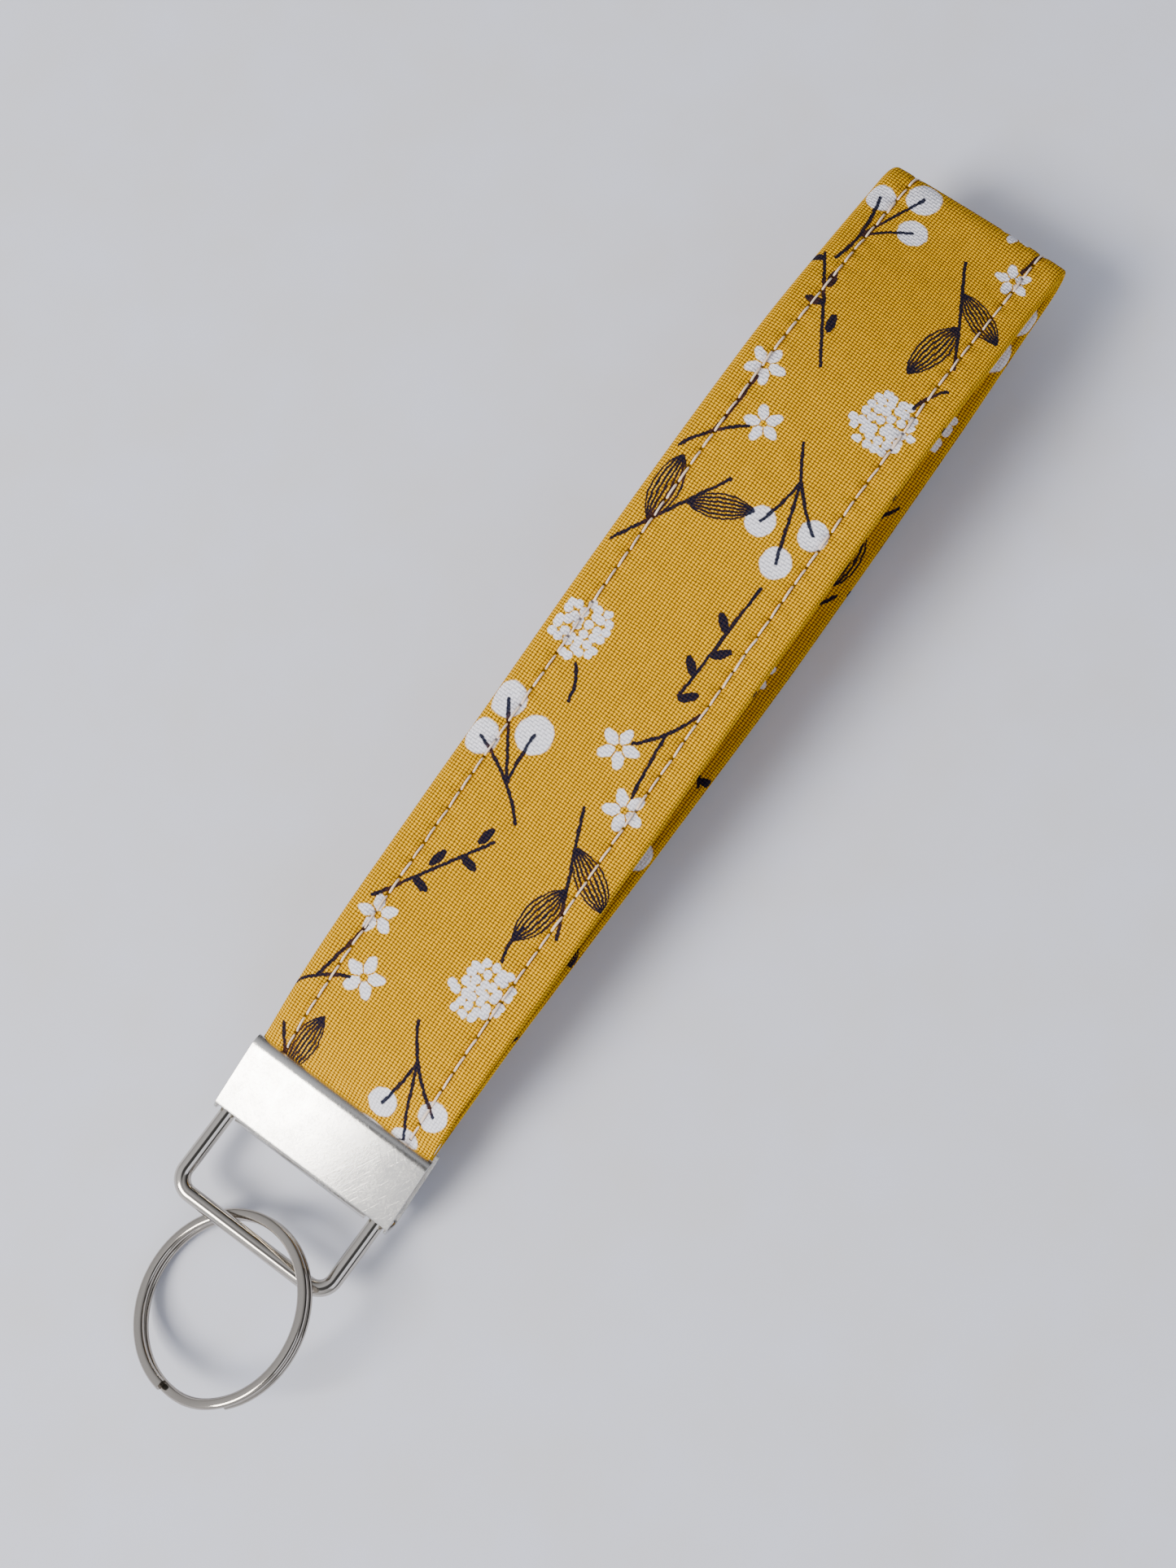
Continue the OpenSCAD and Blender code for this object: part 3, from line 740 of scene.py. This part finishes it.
def nickelMaterial(name, tint, roughness, scuffScale, scuffDepth, dull):
    # nickel plate over steel, tumbled and handled: warm-white mirror broken by scratches and small dents
    # scuffScale is noise cells per metre: 2400 makes scuffs about 0.4 mm across, 500 and 600 waves of 2 and 1.7 mm
    material, tree, shader = newMaterial(name)
    where = addNode(tree, "ShaderNodeTexCoord").outputs["Object"]
    fine = addNode(tree, "ShaderNodeTexNoise", {"Vector": where, "Scale": scuffScale, "Detail": 8.0,
                                                "Roughness": 0.7})
    patch = addNode(tree, "ShaderNodeTexNoise", {"Vector": where, "Scale": scuffScale * nickel["patchShare"],
                                                 "Detail": 3.0})
    scratches = []
    for angle, scale in nickel["scratchSets"]:
        turned = addNode(tree, "ShaderNodeVectorRotate", {"Vector": where, "Angle": angle},
                         rotation_type="Z_AXIS")
        long = addNode(tree, vectorNode, (turned, nickel["scratchStretch"]), operation="MULTIPLY")
        line = addNode(tree, "ShaderNodeTexNoise", {"Vector": long, "Scale": scale, "Detail": 1.0})
        scratches.append(addNode(tree, mapNode, (line, 0.66, 0.72)))
    finePart = addNode(tree, mathNode, (fine, 0.6), operation="MULTIPLY")
    patchPart = addNode(tree, mathNode, (patch, 0.4), operation="MULTIPLY")
    wear = addNode(tree, mathNode, (finePart, patchPart), operation="ADD")
    rough = addNode(tree, mapNode, (wear, 0.35, 0.65, roughness, roughness + dull))
    feed(tree, rough, shader.inputs["Roughness"])
    grooves = addNode(tree, mathNode, (highest(tree, scratches), nickel["scratchDepth"]), operation="MULTIPLY")
    height = addNode(tree, mathNode, (fine, grooves), operation="SUBTRACT")
    bump = addNode(tree, "ShaderNodeBump", {"Height": height, "Strength": 1.0, "Distance": scuffDepth * mm})
    feed(tree, bump, shader.inputs["Normal"])
    spread = addNode(tree, mapNode, (patch, 0.3, 0.7, 0.0, 0.25))
    tone = addNode(tree, mixNode, {0: spread, 6: linearColor(tint), 7: linearColor(nickel["dullPatch"])},
                   data_type="RGBA")
    feed(tree, tone, shader.inputs["Base Color"])
    shader.inputs["Metallic"].default_value = 1.0
    return material


def arcPoints(centre, radius, start, end, steps):
    return [(centre[0] + radius * math.cos(start + (end - start) * i / steps),
             centre[1] + radius * math.sin(start + (end - start) * i / steps)) for i in range(steps + 1)]


def clampPlace(x, y, z):
    p = tilt(x, z)
    return (Vector((p[0], y, p[1])) + loop["offset"]) * mm


def buildClamp(material):
    h, length, t = loop["clampHeight"], hardware["clampLength"], hardware["sheet"]
    fold, lip, half = hardware["foldRadius"], hardware["lipRadius"], hardware["clampWidth"] / 2
    mouth = loop["squeezed"] / 2 + loop["runGap"] + loop["bite"] + 0.05
    mid, quarter = h / 2, math.pi / 2

    def run(inset):
        # from the upper lip's edge round the fold to the lower lip's edge
        rf, rl = fold - inset, lip - inset
        dip = math.asin(max(-1, min(1, (mid + mouth - (h - lip)) / rl)))
        pts = arcPoints((length - lip, h - lip), rl, dip, quarter, 10)
        pts += arcPoints((fold, h - fold), rf, quarter, 2 * quarter, 10)
        pts += arcPoints((fold, fold), rf, 2 * quarter, 3 * quarter, 10)
        pts += arcPoints((length - lip, lip), rl, 3 * quarter, 4 * quarter - dip, 10)
        return pts

    outer, inner = run(0), run(t)
    section = outer + inner[::-1]
    ring, vertices, faces = len(section), [], []
    ys = [-half, half]
    for y in ys:
        vertices += [clampPlace(x, y, z) for x, z in section]
    for j in range(ring):
        k = (j + 1) % ring
        faces.append((j, k, ring + k, ring + j))
    n = len(outer)
    for side, base in ((0, 0), (1, ring)):
        for j in range(n - 1):
            quad = (base + j, base + j + 1, base + ring - 2 - j, base + ring - 1 - j)
            faces.append(quad if side == 0 else quad[::-1])
    obj = meshObject("clampSheet", vertices, faces, material)
    editMesh = bmesh.new()
    editMesh.from_mesh(obj.data)
    bmesh.ops.recalc_face_normals(editMesh, faces=editMesh.faces)
    editMesh.to_mesh(obj.data)
    editMesh.free()
    for side in (-1, 1):
        y0 = side * (hardware["legGap"] / 2 - 0.05)
        wide = hardware["notchHalf"]
        corners = [clampPlace(x, y0 + dy, z) for x in (-1, hardware["notch"]) for dy in (-wide, wide)
                   for z in (-1, h + 1)]
        box = [(0, 1, 3, 2), (4, 6, 7, 5), (0, 4, 5, 1), (2, 3, 7, 6), (0, 2, 6, 4), (1, 5, 7, 3)]
        cutter = meshObject("cutter", corners, box, material)
        cut = obj.modifiers.new("notch", "BOOLEAN")
        cut.operation, cut.solver, cut.object = "DIFFERENCE", "EXACT", cutter
        plainMesh(obj)
        bpy.data.objects.remove(cutter)
    bevel = obj.modifiers.new("edges", "BEVEL")
    bevel.width, bevel.segments, bevel.limit_method = hardware["bevel"] * mm, 3, "ANGLE"
    bevel.angle_limit = math.radians(50)
    plainMesh(obj)
    editMesh = bmesh.new()
    editMesh.from_mesh(obj.data)
    sliver = 0.002 * mm  # the bevel leaves such edges at the notches
    bmesh.ops.remove_doubles(editMesh, verts=editMesh.verts, dist=sliver)
    bmesh.ops.dissolve_degenerate(editMesh, edges=editMesh.edges, dist=sliver)
    editMesh.to_mesh(obj.data)
    editMesh.free()
    addTeeth(obj)
    obj.data.shade_smooth()
    obj.data.set_sharp_from_angle(angle=math.radians(35))
    return obj


def addTeeth(obj):
    # blunt wedges on both lips, biting into the cloth
    editMesh = bmesh.new()
    editMesh.from_mesh(obj.data)
    mid, count = loop["clampHeight"] / 2, hardware["teeth"]
    start, wide = hardware["clampLength"] - hardware["sheet"] - 0.15, hardware["sheet"] - 0.15
    step = (hardware["clampWidth"] - 2 * hardware["toothInset"]) / (count - 1)
    for i in range(count):
        y = -hardware["clampWidth"] / 2 + hardware["toothInset"] + i * step
        for side in (-1, 1):
            base, tip = mid + side * hardware["toothFrom"], mid + side * hardware["toothTo"]
            outline = [(-hardware["toothBase"], base), (hardware["toothBase"], base),
                       (hardware["toothTip"], tip), (-hardware["toothTip"], tip)]
            near = [editMesh.verts.new(clampPlace(start, y + dy, z)) for dy, z in outline]
            far = [editMesh.verts.new(clampPlace(start + wide, y + dy, z)) for dy, z in outline]
            made = [editMesh.faces.new(near), editMesh.faces.new(far[::-1])]
            for j in range(4):
                k = (j + 1) % 4
                made.append(editMesh.faces.new((near[j], far[j], far[k], near[k])))
            bmesh.ops.recalc_face_normals(editMesh, faces=made)
    editMesh.to_mesh(obj.data)
    editMesh.free()


def roundSection(radius, sides):
    return [(radius * math.cos(2 * math.pi * i / sides), radius * math.sin(2 * math.pi * i / sides))
            for i in range(sides)]


def buildBail(material):
    hinge = tilt(hardware["sheet"] + hardware["wire"] / 2 + 0.05, loop["clampHeight"] / 2)
    half, inR, outR, reach = hardware["legGap"] / 2, hardware["bendIn"], hardware["bendOut"], hardware["reach"]
    quarter = math.pi / 2
    flat = [(0.0, half - inR - hardware["trunnion"])]
    flat += [(-inR + inR * math.cos(a), half - inR + inR * math.sin(a))
             for a in [quarter * i / 12 for i in range(13)]]
    flat += [(-inR - (reach - outR - inR) * i / 6, half) for i in range(1, 6)]
    flat += [(-reach + outR - outR * math.sin(a), half - outR + outR * math.cos(a))
             for a in [quarter * i / 14 for i in range(15)]]
    flat += [(-reach, (half - outR) * (1 - i / 6)) for i in range(1, 7)]
    flat += [(x, -y) for x, y in flat[-2::-1]]
    c, s = math.cos(hardware["bailPitch"]), math.sin(hardware["bailPitch"])
    points = [(Vector((hinge[0] + x * c, y, hinge[1] - x * s)) + loop["offset"]) * mm for x, y in flat]
    up = Vector((s, 0, c))
    return sweep("bailWire", points, roundSection(hardware["wire"] / 2 * mm, 28), [up] * len(points), material)


def buildRing(material):
    w, h = hardware["ringWide"], hardware["ringHigh"]
    mean, drop = hardware["ringDiameter"] / 2 - w / 2, h + hardware["ringGap"]
    jog = hardware["jog"]
    tiltBack = Matrix.Rotation(-hardware["ringTilt"], 3, "X") @ Matrix.Rotation(hardware["jogAt"], 3, "Z")
    start, end = jog / 2, 4 * math.pi - jog / 2
    points, steps = [], 300
    centre = Vector(hardware["ringAt"]) + loop["offset"]
    for i in range(steps + 1):
        a = start + (end - start) * i / steps
        t = min(1, max(0, (a - (2 * math.pi - jog / 2)) / jog))
        z = -drop / 2 + drop * (0.5 - 0.5 * math.cos(math.pi * t))
        points.append((centre + tiltBack @ Vector((mean * math.cos(a), mean * math.sin(a), z))) * mm)
    r = hardware["ringCorner"]
    across, up = w / 2 - r, h / 2 - r
    corners = [(across, up, 0), (-across, up, 1), (-across, -up, 2), (across, -up, 3)]
    section = [((x + r * math.cos(q * math.pi / 2 + k * math.pi / 8)) * mm,
                (z + r * math.sin(q * math.pi / 2 + k * math.pi / 8)) * mm) for x, z, q in corners for k in range(5)]
    return sweep("splitRing", points, section, [tiltBack @ Vector((0, 0, 1))] * len(points), material)


# scratches are about 0.2 mm wide and 9 mm long, coarser than real hairlines
nickel = dict(patchShare=0.12, scratchSets=((0.5, 2.2), (-0.9, 1.6), (1.4, 1.9)), scratchStretch=(60, 2600, 60),
              scratchDepth=0.14, dullPatch="9c9a96")
plate = nickelMaterial("nickelPlatedSheet", "d8d6d1", 0.17, 2400.0, 0.02, 0.15)
wire = nickelMaterial("nickelPlatedWire", "c2bcb2", 0.08, 500.0, 0.003, 0.07)
spring = nickelMaterial("nickelPlatedSpringSteel", "aaa399", 0.08, 600.0, 0.004, 0.09)
clamp, bail, ring = buildClamp(plate), buildBail(wire), buildRing(spring)
print("hardware built")


def feltMaterial():
    # non-woven interfacing: dull off-white fibres, matted in clumps of about 0.7 mm
    material, tree, shader = newMaterial("nonwovenInterfacing")
    where = addNode(tree, "ShaderNodeTexCoord").outputs["Object"]
    fibre = addNode(tree, "ShaderNodeTexNoise", {"Vector": where, "Scale": 1500.0, "Detail": 6.0})
    color = addNode(tree, mixNode, {0: fibre, 6: linearColor("cfccc2"), 7: linearColor("efede6")}, data_type="RGBA")
    feed(tree, color, shader.inputs["Base Color"])
    bump = addNode(tree, "ShaderNodeBump", {"Height": fibre, "Strength": 0.6, "Distance": 0.05 * mm})
    feed(tree, bump, shader.inputs["Normal"])
    shader.inputs["Roughness"].default_value = 0.95
    return material


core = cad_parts["interfacing_core"]
core.data.materials.clear()
core.data.materials.append(feltMaterial())

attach(strap, "strap")
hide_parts("printed_fabric")
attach(needleStitches, "strap")
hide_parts("needle_thread_left", "needle_thread_right")
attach(bobbinStitches, "strap")
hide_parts("bobbin_thread_left", "bobbin_thread_right")
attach(clamp, "strap")
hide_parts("clamp")
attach(bail, "bail")
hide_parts("bail_wire")
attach(ring, "ring")
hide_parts("split_ring")

# floor, light and camera: the floor and lamps in metres, the camera place in millimetres
studio = dict(floor="d6dae8", floorSpeck="d4d6de", floorSize=3.0,
              world=0.82, shadeSide=0.06, brightSide=1.5, overheadDark=0.88,
              lamps=(("windowLight", (-0.74, 0.42, 0.86), 21.0, 0.5, "fffaf4"),
                     ("fillLight", (-0.1, -0.9, 0.8), 2.5, 0.8, "e6ecff")),  # name, place, watts, size, colour
              windowAt=(-0.64, 0.34, 0.75), cameraAt=(-42.08, -54.22, 331.0), cameraRight=(0.5842, -0.8096, -0.0555),
              cameraForward=(0.1309, 0.1616, -0.9781), lens=48.610275,
              sensorHeight=36.0)


def buildStudio():
    material, tree, shader = newMaterial("paintedFloor")
    where = addNode(tree, "ShaderNodeTexCoord").outputs["Object"]
    speck = addNode(tree, "ShaderNodeTexNoise", {"Vector": where, "Scale": 60.0, "Detail": 4.0})  # about 17 mm
    speck = addNode(tree, mapNode, (speck, 0.3, 0.7))
    color = addNode(tree, mixNode, {0: speck, 6: linearColor(studio["floor"]), 7: linearColor(studio["floorSpeck"])},
                    data_type="RGBA")
    feed(tree, color, shader.inputs["Base Color"])
    shader.inputs["Roughness"].default_value = 0.9
    half = studio["floorSize"] / 2
    corners = [(-half, -half, 0), (half, -half, 0), (half, half, 0), (-half, half, 0)]
    floor = meshObject("floor", corners, [(0, 1, 2, 3)], material, smooth=False)
    floor.location.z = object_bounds()[0].z - 0.0001
    world = bpy.data.worlds.new("softbox")
    world.use_nodes = True
    sky = world.node_tree
    sky.nodes.clear()
    direction = addNode(sky, "ShaderNodeTexCoord").outputs["Generated"]
    window = Vector(studio["windowAt"]).normalized()
    facing = addNode(sky, vectorNode, (direction, tuple(window)), operation="DOT_PRODUCT")
    glow = addNode(sky, mapNode, (facing, -0.25, 1.0, studio["shadeSide"], studio["brightSide"]))
    # a dark patch of sky where someone would lean over to look; it is fixed, and stays put in every view
    lookout = tuple(-Vector(studio["cameraForward"]).normalized())
    aloft = addNode(sky, vectorNode, (direction, lookout), operation="DOT_PRODUCT")
    overhead = addNode(sky, mapNode, (aloft, 0.90, 0.955, 0.0, studio["overheadDark"]))
    openSky = addNode(sky, mathNode, (1.0, overhead), operation="SUBTRACT")
    glow = addNode(sky, mathNode, (glow, openSky), operation="MULTIPLY")
    glow = addNode(sky, mathNode, (glow, studio["world"]), operation="MULTIPLY")
    background = addNode(sky, "ShaderNodeBackground", {"Color": linearColor("eef0f8"), "Strength": glow})
    addNode(sky, "ShaderNodeOutputWorld", (background,))
    bpy.context.scene.world = world
    for name, spot, power, size, color in studio["lamps"]:
        lamp = bpy.data.lights.new(name, "AREA")
        lamp.energy, lamp.size, lamp.color = power, size, linearColor(color)[:3]
        obj = bpy.data.objects.new(name, lamp)
        obj.location = spot
        obj.rotation_euler = (-Vector(spot)).to_track_quat("-Z", "Y").to_euler()
        bpy.context.scene.collection.objects.link(obj)


def buildCamera():
    data = bpy.data.cameras.new("camera")
    data.sensor_fit, data.sensor_height = "VERTICAL", studio["sensorHeight"]
    data.lens = studio["lens"]
    data.clip_start, data.clip_end = 0.01, 20
    camera = bpy.data.objects.new("camera", data)
    forward = Vector(studio["cameraForward"]).normalized()
    right = Vector(studio["cameraRight"])
    right = (right - forward * right.dot(forward)).normalized()
    up = right.cross(forward)
    camera.matrix_world = Matrix.Translation(Vector(studio["cameraAt"]) * mm) @ Matrix(
        (right, up, -forward)).transposed().to_4x4()
    bpy.context.scene.collection.objects.link(camera)
    bpy.context.scene.camera = camera


buildStudio()
buildCamera()
print("studio built")
